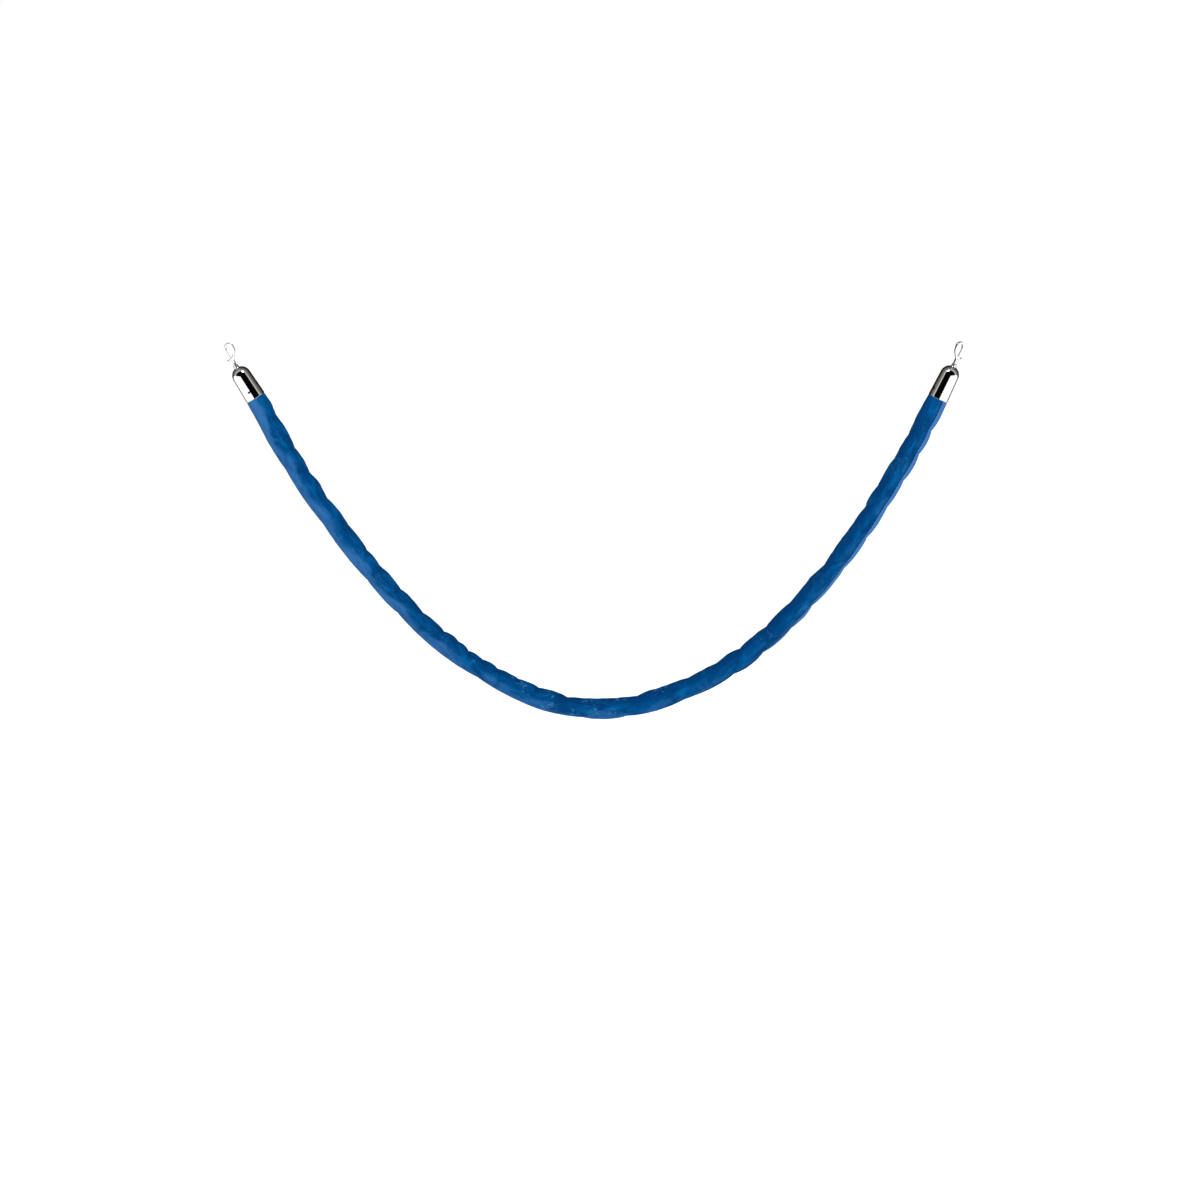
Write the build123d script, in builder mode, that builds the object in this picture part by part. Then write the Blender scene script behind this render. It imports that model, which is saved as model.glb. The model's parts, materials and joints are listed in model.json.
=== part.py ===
"""A velvet barrier rope: a padded velvet rope with a chromed end cap and a swivelling
trigger snap hook at each end. Millimetres, +Z up, +X from the left hook to the right one.

The origin is the middle of the round seat in the left hook's eye, where the post's ring
carries the rope. The rope hangs in the XZ plane.
"""

from build123d import *
import math
import os

# ---- rope ----
velvet_d = 38.0          # outside of the velvet between the caps
velvet_wall = 2.0        # velvet with its backing cloth
foam_gap = 0.3           # foam to velvet, and core to foam
core_d = 12.0            # cotton core cord
sleeve_len = 38.0        # velvet that is tucked up inside a cap
mouth_gap = 0.3          # cap's rim to the shoulder of the velvet

# The rope's route in its own plane, from the left cap's mouth to the right cap's mouth.
route = [
    (0, 0), (20.5, -34), (53, -95.5), (107, -183), (178, -286), (240, -363), (294, -423),
    (370, -487), (435, -529.5), (516, -567), (588, -584), (662, -587.5), (734, -571.5),
    (794, -548), (881, -502.5), (961, -433), (1014, -377), (1096, -272), (1149, -188),
    (1205.5, -91.5), (1247, -1),
]
bend_share = 0.45        # an arc takes this share of the shorter run beside it

# ---- end cap ----
cap_mouth_d = 38.0       # outside at the mouth
cap_shoulder_d = 34.8    # outside where the dome begins
cap_barrel = 47.0        # mouth to the start of the dome
cap_len = 65.0           # mouth to the top of the boss
cap_wall = 1.2
cap_lip = 0.35           # rounding of the rim
boss_d = 9.6             # small flat boss on the crown
boss_h = 1.2
sleeve_gap = 0.25        # cap's bore to the velvet inside it

# ---- end plug and its screws ----
plug_len = 33.0
plug_rim = 4.0           # from the cap's mouth to the plug
plug_gap = 0.2           # plug to the velvet around it
core_depth = 26.0        # core cord's socket in the plug
core_gap = 0.2
plug_edge = 1.0
screw_up = 14.6          # screw's height above the mouth
screw_head_d = 4.0
screw_head_h = 1.5
screw_sink = 0.45        # head's top below the cap's surface
screw_shank_d = 2.4
screw_edge = 0.3
screw_tip_wall = 1.4     # wood between the screw's tip and the core's socket
screw_gap = 0.15         # head to the hole in the cap
thread_gap = 0.05        # shank to its hole in the plug
cross_span = 2.6         # cross recess in the head
cross_w = 0.7
cross_depth = 0.8

# ---- swivel ----
bush_flange_d = 10.4
bush_flange_h = 1.2
bush_sleeve_d = 7.2
bush_fit_gap = 0.02
shank_d = 5.0
shank_run_gap = 0.05     # running clearance, on the radius
swivel_play = 0.15       # lengthways, above and below the bush
washer_d = 11.6
washer_h = 0.9
rivet_d = 8.6
rivet_h = 2.2
washer_rim_gap = 0.4     # washer's rim to the crown's underside
ring_edge = 0.3          # chamfers of the swivel's rings

# ---- snap hook, measured across from the swivel's axis and up from the cap's top ----
hook_thick = 5.0
hook_round = 1.0         # rounding of the long edges
collar_d = 9.4
collar_h = 2.4
neck_d = 6.6
neck_slope = 1.0         # from the collar's top in to the neck
collar_round = 0.6
bow_wall = 3.8           # width of the bow's section
eye_r = 5.4              # round seat at the top of the eye
eye_near = 2.2           # eye's edge on the gate's side
eye_up = 36.7            # eye's middle
eye_foot_side = 3.4      # eye's pointed foot
eye_foot_up = 20.3
body_left = 4.6
body_right = 3.8
body_foot = 5.0          # where the flat body leaves the round neck
body_full = 8.6          # where it reaches its full width
body_flare = 13.5        # where its right side starts out to the bow
bow_root = 19.0          # where it joins the bow's outer arc
cheek_top = 18.4
corner_r = 1.5           # rounding of the outline's corners

# ---- gate ----
gate_open = 27.0         # degrees that the gate swings in
pivot_side = -1.2
pivot_up = 13.5
hub_r = 2.8
slot_w = 2.6             # slot between the cheeks
slot_foot = 9.0
hub_gap = 0.4            # hub to the slot's floor
slot_bend = 0.4          # the floor leans back from this far above the pivot
gate_side_gap = 0.1      # gate to each cheek
gate_w = 2.8             # gate's arm, whose outer face is flush with the bow
gate_round = 0.4
nose_drop = 1.6          # nose's tip below the eye's middle
nose_gap = 0.25          # gate's tip to the nose
heel_gap = 0.08          # gate's heel to the floor that it stops on
heel_low = 10.4
heel_high = 12.2
pin_d = 2.2
pin_run_gap = 0.04
pin_fit_gap = 0.01
pin_head_d = 3.6
pin_head_h = 0.6
knob_up = 17.4
knob_d = 4.4
knob_h = 1.8
knob_round = 0.7
knob_stem_d = 2.2
knob_cheek_gap = 0.4     # knob to the cheeks' top corner when the gate is open
knob_spigot_d = 1.2
knob_spigot_len = 1.1
knob_fit_gap = 0.02
spring_up = 17.2
spring_d = 1.7
spring_wire = 0.3
spring_turns = 5
gate_pocket = 1.2        # depth of the spring's seat in the gate
body_pocket = 0.95       # depth of its seat in the body
spring_gap = 0.15        # spring to its seats' walls
spring_end_gap = 0.03

# Degrees that each eye and each pair of screws is turned about its cap's axis, from the
# rope's inner side towards the front.
hook_turn = {"left": 0.0, "right": 32.0}
screw_turn = {"left": 97.0, "right": 30.0}

os.makedirs("parts", exist_ok=True)


def finish(builder, name):
    """Label a finished piece and write it."""
    builder.part.label = name
    export_step(builder.part, f"parts/{name}.step")


# ---- frames of the two ends ----

def run_direction(start, end):
    """Unit vector from one route point to another, in the rope's plane."""
    return Vector(end[0] - start[0], 0, end[1] - start[1]).normalized()


def end_frame(mouth, up, inward):
    """Frame at a cap's mouth: Z up its axis, X square to it on the rope's inner side."""
    side = inward - up * inward.dot(up)
    return Plane(origin=mouth, x_dir=side.normalized(), z_dir=up)


left_up = run_direction(route[1], route[0])
right_up = run_direction(route[-2], route[-1])
left_side = Vector(1, 0, 0) - left_up * left_up.X
eye_side = eye_near + eye_r
seat_up = cap_len + eye_up
left_mouth = left_up * -seat_up - left_side.normalized() * eye_side


def route_point(x, z):
    """A route point in the part's frame."""
    return Vector(left_mouth.X + x, 0, left_mouth.Z + z)


points = [route_point(x, z) for x, z in route]
frames = {
    "left": end_frame(points[0], left_up, Vector(1, 0, 0)),
    "right": end_frame(points[-1], right_up, Vector(-1, 0, 0)),
}


def bend_radii(path_points):
    """The largest tangent arc that each corner's two runs allow."""
    radii = []
    for before, at, after in zip(path_points, path_points[1:], path_points[2:]):
        arriving, leaving = at - before, after - at
        half_turn = math.radians(arriving.get_angle(leaving)) / 2
        shorter = min(arriving.length, leaving.length)
        radii.append(bend_share * shorter / math.tan(half_turn))
    return radii


radii = bend_radii(points)
print("bend radii:", [round(r) for r in radii])


def rope_path(past_mouths):
    """The route's corners, with both ends moved past the mouths, into the caps."""
    first = points[0] + left_up * past_mouths
    last = points[-1] + right_up * past_mouths
    return [first, *points[1:-1], last]


def turned(frame, up, degrees):
    """A frame on a cap's axis, some way above the mouth, turned from the inner side to the front."""
    angle = math.radians(degrees)
    side = frame.x_dir * math.cos(angle) + Vector(0, -1, 0) * math.sin(angle)
    return Plane(origin=frame.origin + frame.z_dir * up, x_dir=side, z_dir=frame.z_dir)


def upright(frame):
    """The plane through a frame's X and Z, with Z as its own Y, for profiles to revolve."""
    return Plane(origin=frame.origin, x_dir=frame.x_dir, z_dir=frame.x_dir.cross(frame.z_dir))


def across(frame, up):
    """The plane square to a frame's X, some way up it, for what goes in from the side."""
    middle = frame.origin + frame.z_dir * up
    return Plane(origin=middle, x_dir=frame.z_dir, z_dir=frame.x_dir)


def cap_outer_r(up):
    """Outside radius of a cap's barrel at a height above its mouth."""
    return (cap_mouth_d - (cap_mouth_d - cap_shoulder_d) * up / cap_barrel) / 2


def sleeve_r(up):
    """Outside radius of the velvet inside the cap."""
    return cap_outer_r(up) - cap_wall - sleeve_gap


def plug_r(up):
    """Radius of the end plug, which tapers with the velvet around it."""
    return sleeve_r(up) - velvet_wall - plug_gap


# Each cap's own frame has a screw on its X, and each hook's own frame has the bow on its X.
cap_frames = {side: turned(frame, 0, screw_turn[side]) for side, frame in frames.items()}
hook_frames = {side: turned(frame, cap_len, hook_turn[side]) for side, frame in frames.items()}


def finish_pair(builder, name, places):
    """Place a finished piece at both ends, label both and write them."""
    for side, place in places.items():
        piece = place.from_local_coords(builder.part)
        piece.label = f"{side}_{name}"
        export_step(piece, f"parts/{side}_{name}.step")


# ---- rope ----

tube_middle_r = (velvet_d - velvet_wall) / 2
tuck_foot = -mouth_gap - velvet_wall

with BuildPart() as velvet_cover:
    with BuildLine():
        velvet_path = FilletPolyline(*rope_path(-mouth_gap), radius=radii)
    with BuildSketch(Plane(origin=velvet_path @ 0, z_dir=velvet_path % 0)):
        Circle(velvet_d / 2)
        Circle(velvet_d / 2 - velvet_wall, mode=Mode.SUBTRACT)
    sweep(path=velvet_path)
    for frame in cap_frames.values():
        with BuildSketch(upright(frame)):
            Polygon(
                (sleeve_r(0) - velvet_wall, tuck_foot),
                (tube_middle_r, tuck_foot),
                (tube_middle_r, -mouth_gap),
                (sleeve_r(0), -mouth_gap),
                (sleeve_r(sleeve_len), sleeve_len),
                (sleeve_r(sleeve_len) - velvet_wall, sleeve_len),
                align=None,
            )
        revolve(axis=Axis(frame.origin, frame.z_dir))
        with BuildSketch(across(frame, screw_up)):
            Circle(screw_head_d / 2 + screw_gap)
        extrude(amount=cap_mouth_d / 2, both=True, mode=Mode.SUBTRACT)
finish(velvet_cover, "velvet_cover")

foam_r = velvet_d / 2 - velvet_wall - foam_gap
foam_bore_r = core_d / 2 + foam_gap
with BuildPart() as foam_filler:
    with BuildLine():
        foam_path = FilletPolyline(*rope_path(tuck_foot - foam_gap), radius=radii)
    with BuildSketch(Plane(origin=foam_path @ 0, z_dir=foam_path % 0)):
        Circle(foam_r)
        Circle(foam_bore_r, mode=Mode.SUBTRACT)
    sweep(path=foam_path)
finish(foam_filler, "foam_filler")

with BuildPart() as core_cord:
    with BuildLine():
        core_path = FilletPolyline(*rope_path(plug_rim + core_depth - core_gap), radius=radii)
    with BuildSketch(Plane(origin=core_path @ 0, z_dir=core_path % 0)):
        Circle(core_d / 2)
    sweep(path=core_path)
finish(core_cord, "core_cord")

foam_area = math.pi * (foam_r ** 2 - foam_bore_r ** 2)
core_area = math.pi * core_d ** 2 / 4
print(f"velvet between the mouths: {velvet_path.length + 2 * mouth_gap:.1f} mm")
print(f"foam volume share: {foam_filler.part.volume / foam_area / foam_path.length:.5f}")
print(f"core volume share: {core_cord.part.volume / core_area / core_path.length:.5f}")

# ---- cap, plug and screws ----

dome_rise = cap_len - boss_h - cap_barrel
shoulder_r = cap_shoulder_d / 2
boss_r = boss_d / 2
dome_middle = (shoulder_r ** 2 - boss_r ** 2 - dome_rise ** 2) / (2 * (shoulder_r - boss_r))
dome_r = shoulder_r - dome_middle
dome_inner_r = dome_r - cap_wall
bush_hole_r = bush_sleeve_d / 2 + bush_fit_gap


def crown_under(radius):
    """Height of the crown's underside above the mouth, at a radius."""
    return cap_barrel + math.sqrt(dome_inner_r ** 2 - (radius - dome_middle) ** 2)


with BuildPart() as end_cap:
    with BuildSketch(Plane.XZ) as cap_profile:
        with BuildLine():
            barrel = Polyline(
                (shoulder_r - cap_wall, cap_barrel),
                (cap_mouth_d / 2 - cap_wall, 0),
                (cap_mouth_d / 2, 0),
                (shoulder_r, cap_barrel),
            )
            RadiusArc(barrel @ 1, (boss_r, cap_len - boss_h), -dome_r)
            Polyline(
                (boss_r, cap_len - boss_h),
                (boss_r, cap_len),
                (bush_hole_r, cap_len),
                (bush_hole_r, crown_under(bush_hole_r)),
            )
            RadiusArc((bush_hole_r, crown_under(bush_hole_r)), barrel @ 0, dome_inner_r)
        make_face()
        fillet(cap_profile.vertices().group_by(Axis.Y)[0], cap_lip)
    revolve(axis=Axis.Z)
    with BuildSketch(Plane.YZ.offset(-cap_mouth_d)):
        with Locations((0, screw_up)):
            Circle(screw_head_d / 2 + screw_gap)
    extrude(amount=2 * cap_mouth_d, mode=Mode.SUBTRACT)
finish_pair(end_cap, "end_cap", cap_frames)

plug_top = plug_rim + plug_len
with BuildPart() as end_plug:
    with BuildSketch(Plane.XZ) as plug_profile:
        Polygon(
            (0, plug_rim),
            (plug_r(plug_rim), plug_rim),
            (plug_r(plug_top), plug_top),
            (0, plug_top),
            align=None,
        )
        chamfer(plug_profile.vertices().filter_by_position(Axis.X, plug_edge, cap_mouth_d), plug_edge)
    revolve(axis=Axis.Z)
    with BuildSketch(Plane.XY.offset(plug_rim)):
        Circle(core_d / 2 + core_gap)
    extrude(amount=core_depth, mode=Mode.SUBTRACT)
    with BuildSketch(Plane.YZ.offset(-cap_mouth_d)):
        with Locations((0, screw_up)):
            Circle(screw_shank_d / 2 + thread_gap)
    extrude(amount=2 * cap_mouth_d, mode=Mode.SUBTRACT)
finish_pair(end_plug, "end_plug", cap_frames)

# The two screws of a cap face each other across it.
screw_top = cap_outer_r(screw_up) - screw_sink
screw_len = screw_top - screw_head_h - core_d / 2 - core_gap - screw_tip_wall
for where, way in (("front", 1), ("back", -1)):
    outwards = Plane(origin=(0, 0, screw_up), x_dir=(0, 0, 1), z_dir=(way, 0, 0))
    with BuildPart() as cap_screw:
        with BuildSketch(outwards.offset(screw_top)):
            Circle(screw_head_d / 2)
        extrude(amount=-screw_head_h)
        chamfer(cap_screw.edges().filter_by(GeomType.CIRCLE), screw_edge)
        with BuildSketch(outwards.offset(screw_top - screw_head_h)):
            Circle(screw_shank_d / 2)
        extrude(amount=-screw_len)
        with BuildSketch(outwards.offset(screw_top)):
            Rectangle(cross_span, cross_w)
            Rectangle(cross_w, cross_span)
        extrude(amount=-cross_depth, mode=Mode.SUBTRACT)
    finish_pair(cap_screw, f"cap_screw_{where}", cap_frames)

# ---- swivel, in the hook's frame: up from the cap's top ----

washer_top = crown_under(washer_d / 2) - washer_rim_gap - cap_len
sleeve_end = washer_top + swivel_play
rivet_top = washer_top - washer_h
shank_end = rivet_top - rivet_h

with BuildPart() as swivel_bush:
    with BuildSketch():
        Circle(bush_flange_d / 2)
    extrude(amount=bush_flange_h)
    chamfer(swivel_bush.edges().group_by(Axis.Z)[-1], ring_edge)
    with BuildSketch(Plane.XY.offset(sleeve_end)):
        Circle(bush_sleeve_d / 2)
    extrude(amount=-sleeve_end)
    Hole(shank_d / 2 + shank_run_gap)
finish_pair(swivel_bush, "swivel_bush", hook_frames)

with BuildPart() as swivel_washer:
    with BuildSketch(Plane.XY.offset(washer_top)):
        Circle(washer_d / 2)
        Circle(shank_d / 2 + shank_run_gap, mode=Mode.SUBTRACT)
    extrude(amount=-washer_h)
finish_pair(swivel_washer, "swivel_washer", hook_frames)

with BuildPart() as swivel_rivet:
    with BuildSketch(Plane.XY.offset(rivet_top)):
        Circle(rivet_d / 2)
        Circle(shank_d / 2 + bush_fit_gap, mode=Mode.SUBTRACT)
    extrude(amount=-rivet_h)
    chamfer(swivel_rivet.edges().group_by(Axis.Z)[0].sort_by(SortBy.RADIUS)[-1], ring_edge)
finish_pair(swivel_rivet, "swivel_rivet", hook_frames)

# ---- snap hook, in the same frame: the eye in its XZ plane, the bow on its +X side ----

collar_foot = bush_flange_h + swivel_play
collar_top = collar_foot + collar_h
bow_r = eye_r + bow_wall
gate_out = eye_side - bow_r
gate_in = gate_out + gate_w
eye_far = eye_side + eye_r
bow_far = eye_side + bow_r
slot_floor = pivot_side + hub_r + hub_gap
# Beside the eye the bow runs down on an arc that starts upright and ends at the eye's foot.
sweep_reach = eye_far - eye_foot_side
sweep_in_r = (sweep_reach ** 2 + (eye_up - eye_foot_up) ** 2) / (2 * sweep_reach)
sweep_out_r = sweep_in_r + bow_wall
root_side = eye_far - sweep_in_r + math.sqrt(sweep_out_r ** 2 - (eye_up - bow_root) ** 2)
# The nose's end and the gate's tip are arcs about the gate's pivot.
nose_r = math.hypot(eye_near - pivot_side, eye_up - nose_drop - pivot_up)
tip_r = nose_r - nose_gap


def arc_up(side, radius):
    """Height at which an arc about the gate's pivot passes a given distance to the side."""
    return pivot_up + math.sqrt(radius ** 2 - (side - pivot_side) ** 2)


def floor_side(up):
    """Where the slot's leaning floor is, at a height above the cap's top."""
    return slot_floor + (up - pivot_up - slot_bend) * math.tan(math.radians(gate_open))


spring_back = floor_side(spring_up) + body_pocket
spring_front = gate_in - gate_pocket

with BuildPart() as hook_body:
    with BuildSketch(Plane.XZ) as hook_outline:
        with BuildLine():
            nose_side = Line((eye_near, arc_up(eye_near, nose_r)), (eye_near, eye_up))
            RadiusArc(nose_side @ 1, (eye_far, eye_up), eye_r)
            RadiusArc((eye_far, eye_up), (eye_foot_side, eye_foot_up), sweep_in_r)
            Polyline(
                (eye_foot_side, eye_foot_up),
                (-body_left, cheek_top),
                (-body_left, body_full),
                (-neck_d / 2, body_foot),
                (neck_d / 2, body_foot),
                (body_right, body_full),
                (body_right, body_flare),
                (root_side, bow_root),
            )
            RadiusArc((root_side, bow_root), (bow_far, eye_up), -sweep_out_r)
            RadiusArc((bow_far, eye_up), (gate_out, eye_up), -bow_r)
            nose_back = Line((gate_out, eye_up), (gate_out, arc_up(gate_out, nose_r)))
            RadiusArc(nose_back @ 1, nose_side @ 0, nose_r)
        make_face()
        corners = hook_outline.vertices().filter_by_position(Axis.Y, body_full - 1, eye_foot_up + 1)
        fillet(corners, corner_r)
    extrude(amount=hook_thick / 2, both=True)
    long_edges = hook_body.edges().group_by(Axis.Y)
    fillet(long_edges[0] + long_edges[-1], hook_round)
    with BuildSketch(Plane.XZ) as neck_profile:
        Polygon(
            (0, collar_foot),
            (collar_d / 2, collar_foot),
            (collar_d / 2, collar_top),
            (neck_d / 2, collar_top + neck_slope),
            (neck_d / 2, body_full),
            (0, body_full + neck_d / 2),
            align=None,
        )
        fillet(neck_profile.vertices().group_by(Axis.X)[-1], collar_round)
    revolve(axis=Axis.Z)
    with BuildSketch(Plane.XY.offset(shank_end)):
        Circle(shank_d / 2)
    extrude(amount=collar_foot - shank_end)
    with BuildSketch(Plane.XZ):
        Polygon(
            (slot_floor, slot_foot),
            (slot_floor, pivot_up + slot_bend),
            (floor_side(eye_up), eye_up),
            (-bow_r, eye_up),
            (-bow_r, slot_foot),
            align=None,
        )
    extrude(amount=slot_w / 2, both=True, mode=Mode.SUBTRACT)
    with BuildSketch(Plane.XZ):
        with Locations((pivot_side, pivot_up)):
            Circle(pin_d / 2 + pin_fit_gap)
    extrude(amount=hook_thick, both=True, mode=Mode.SUBTRACT)
    with BuildSketch(Plane.YZ):
        with Locations((0, spring_up)):
            Circle(spring_d / 2 + spring_gap)
    extrude(amount=spring_back, mode=Mode.SUBTRACT)
finish_pair(hook_body, "hook_body", hook_frames)

# ---- gate, with its pin, thumb knob and spring ----

with BuildPart() as gate:
    with BuildSketch(Plane.XZ):
        with BuildLine():
            arm = Polyline(
                (gate_out, arc_up(gate_out, tip_r)),
                (gate_out, pivot_up),
                (gate_in, pivot_up),
                (gate_in, arc_up(gate_in, tip_r)),
            )
            RadiusArc(arm @ 0, arm @ 1, tip_r)
        make_face()
        with Locations((pivot_side, pivot_up)):
            Circle(hub_r)
        Polygon(
            (pivot_side, heel_low),
            (slot_floor - heel_gap, heel_low),
            (slot_floor - heel_gap, heel_high),
            (pivot_side, heel_high),
            align=None,
        )
    extrude(amount=slot_w / 2 - gate_side_gap, both=True)
    upright_edges = gate.edges().filter_by(Axis.Z)
    fillet(upright_edges, gate_round)
    with BuildSketch(Plane.XZ):
        with Locations((pivot_side, pivot_up)):
            Circle(pin_d / 2 + pin_run_gap)
    extrude(amount=slot_w, both=True, mode=Mode.SUBTRACT)
    with BuildSketch(Plane.YZ.offset(spring_front)):
        with Locations((0, spring_up)):
            Circle(spring_d / 2 + spring_gap)
    extrude(amount=2 * gate_pocket, mode=Mode.SUBTRACT)
    with BuildSketch(Plane.YZ.offset(gate_out + knob_spigot_len + knob_fit_gap)):
        with Locations((0, knob_up)):
            Circle(knob_spigot_d / 2 + knob_fit_gap)
    extrude(amount=-2 * knob_spigot_len, mode=Mode.SUBTRACT)
finish_pair(gate, "gate", hook_frames)

# The stem is long enough for the open knob to clear the cheeks' rounded top corner, whose
# middle is given here from the gate's pivot.
swing = math.radians(gate_open)
corner_side = corner_r - body_left - pivot_side
corner_up = cheek_top - corner_r - pivot_up
corner_reach = corner_r + corner_up * math.sin(swing) - corner_side * math.cos(swing)
knob_reach = corner_reach + knob_cheek_gap - pivot_side + gate_out
knob_seat = Plane(origin=(gate_out, 0, knob_up), x_dir=(0, 0, 1), z_dir=(-1, 0, 0))
with BuildPart() as gate_knob:
    with BuildSketch(knob_seat.offset(-knob_spigot_len)):
        Circle(knob_spigot_d / 2)
    extrude(amount=knob_spigot_len)
    with BuildSketch(knob_seat):
        Circle(knob_stem_d / 2)
    extrude(amount=knob_reach)
    with BuildSketch(knob_seat.offset(knob_reach)):
        Circle(knob_d / 2)
    extrude(amount=knob_h)
    fillet(gate_knob.edges().filter_by(GeomType.CIRCLE).group_by(SortBy.RADIUS)[-1], knob_round)
finish_pair(gate_knob, "gate_knob", hook_frames)

pin_middle = Plane(origin=(pivot_side, 0, pivot_up), z_dir=(0, 1, 0))
with BuildPart() as gate_pin:
    with BuildSketch(pin_middle):
        Circle(pin_d / 2)
    extrude(amount=hook_thick / 2 + pin_head_h / 2, both=True)
    for way in (1, -1):
        cheek = Plane(origin=(pivot_side, way * hook_thick / 2, pivot_up), z_dir=(0, way, 0))
        with BuildSketch(cheek):
            Circle(pin_head_d / 2)
        extrude(amount=pin_head_h)
    head_rims = gate_pin.edges().group_by(Axis.Y)
    chamfer(head_rims[0] + head_rims[-1], pin_head_h / 2)
finish_pair(gate_pin, "gate_pin", hook_frames)

coil_start = spring_front + spring_end_gap + spring_wire / 2
coil_len = spring_back - spring_end_gap - spring_wire / 2 - coil_start
with BuildPart() as gate_spring:
    with BuildLine():
        coil = Helix(
            pitch=coil_len / spring_turns,
            height=coil_len,
            radius=(spring_d - spring_wire) / 2,
            center=(coil_start, 0, spring_up),
            direction=(1, 0, 0),
        )
    with BuildSketch(Plane(origin=coil @ 0, z_dir=coil % 0)):
        Circle(spring_wire / 2)
    sweep(path=coil, is_frenet=True)
finish_pair(gate_spring, "gate_spring", hook_frames)

for side, place in hook_frames.items():
    eye_middle = place.from_local_coords((eye_side, 0, eye_up))
    print(side, "eye", [round(v, 3) for v in eye_middle], "across", place.y_dir)
    print(side, "swivel", place.origin, place.z_dir, "pivot",
          place.from_local_coords((pivot_side, 0, pivot_up)))
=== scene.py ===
"""Looks of a velvet barrier rope, with a chromed cap and a snap hook at each end.

Metres, +Z up, +X from the left hook to the right one. The rope hangs in the XZ plane.
"""

import json
import logging
import math
from dataclasses import dataclass, field
from enum import Enum
from typing import Any

import bpy
import numpy as np
from mathutils import Euler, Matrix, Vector


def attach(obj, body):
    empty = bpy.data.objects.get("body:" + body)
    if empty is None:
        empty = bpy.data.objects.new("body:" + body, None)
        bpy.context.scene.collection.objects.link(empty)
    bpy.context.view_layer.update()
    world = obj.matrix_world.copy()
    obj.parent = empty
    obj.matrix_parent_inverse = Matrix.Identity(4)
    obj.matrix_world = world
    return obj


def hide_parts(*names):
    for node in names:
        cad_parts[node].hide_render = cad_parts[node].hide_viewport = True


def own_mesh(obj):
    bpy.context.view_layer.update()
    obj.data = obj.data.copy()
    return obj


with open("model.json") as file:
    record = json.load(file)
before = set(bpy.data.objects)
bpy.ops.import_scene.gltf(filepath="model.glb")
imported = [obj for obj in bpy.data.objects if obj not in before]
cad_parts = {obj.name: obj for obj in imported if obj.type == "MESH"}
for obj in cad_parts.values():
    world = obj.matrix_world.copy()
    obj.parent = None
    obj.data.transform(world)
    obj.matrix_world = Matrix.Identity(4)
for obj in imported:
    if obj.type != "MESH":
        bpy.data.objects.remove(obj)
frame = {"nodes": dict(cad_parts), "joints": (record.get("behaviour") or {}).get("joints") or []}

Array = np.ndarray
Socket = bpy.types.NodeSocket
MM = 0.001
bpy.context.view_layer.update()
EASED = {"interpolation_type": "SMOOTHSTEP"}
IN_COLOUR = {"data_type": "RGBA"}
WAVE_FACTOR = 20       # the wave texture multiplies the place by this
log = logging.getLogger("velvet_rope")


class Side(Enum):
    """The two ends of the rope."""

    LEFT = "left"
    RIGHT = "right"


# ---- colours and shader nodes ----

def colour(code: str) -> tuple[float, float, float, float]:
    """Turn an sRGB hex colour into the linear colour that shaders take.

    Args:
        code: six hex digits after a hash.

    Returns:
        Linear red, green, blue and an alpha of one.
    """
    parts = [int(code[i:i + 2], 16) / 255 for i in (1, 3, 5)]
    red, green, blue = (
        part / 12.92 if part <= 0.04045 else ((part + 0.055) / 1.055) ** 2.4 for part in parts
    )
    return (red, green, blue, 1.0)


def add_node(tree: bpy.types.NodeTree, kind: str, settings: dict[str, Any],
             inputs: dict[str | int, Any]) -> bpy.types.Node:
    """Add a shader node with its settings, its socket values and its links.

    Args:
        tree: node tree that the node joins.
        kind: the node's type name.
        settings: the node's own properties.
        inputs: a value or another node's output socket for each input, by name or number.

    Returns:
        The new node.
    """
    node = tree.nodes.new(kind)
    for name, value in settings.items():
        setattr(node, name, value)
    for key, value in inputs.items():
        if isinstance(value, bpy.types.NodeSocket):
            tree.links.new(value, node.inputs[key])
        else:
            node.inputs[key].default_value = value
    return node


def blank_material(name: str) -> tuple[bpy.types.Material, bpy.types.NodeTree]:
    """Make a material with an empty node tree.

    Args:
        name: the material's name.

    Returns:
        The material and its node tree.
    """
    material = bpy.data.materials.new(name)
    material.use_nodes = True
    material.node_tree.nodes.clear()
    return material, material.node_tree


def finish_material(tree: bpy.types.NodeTree, settings: dict[str | int, Any]) -> None:
    """Add a Principled shader with the given inputs, and the material's output.

    Args:
        tree: the material's node tree.
        settings: value or socket for each input of the shader.
    """
    shader = add_node(tree, "ShaderNodeBsdfPrincipled", {}, settings)
    add_node(tree, "ShaderNodeOutputMaterial", {}, {"Surface": shader.outputs["BSDF"]})


# ---- finishes ----

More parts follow.
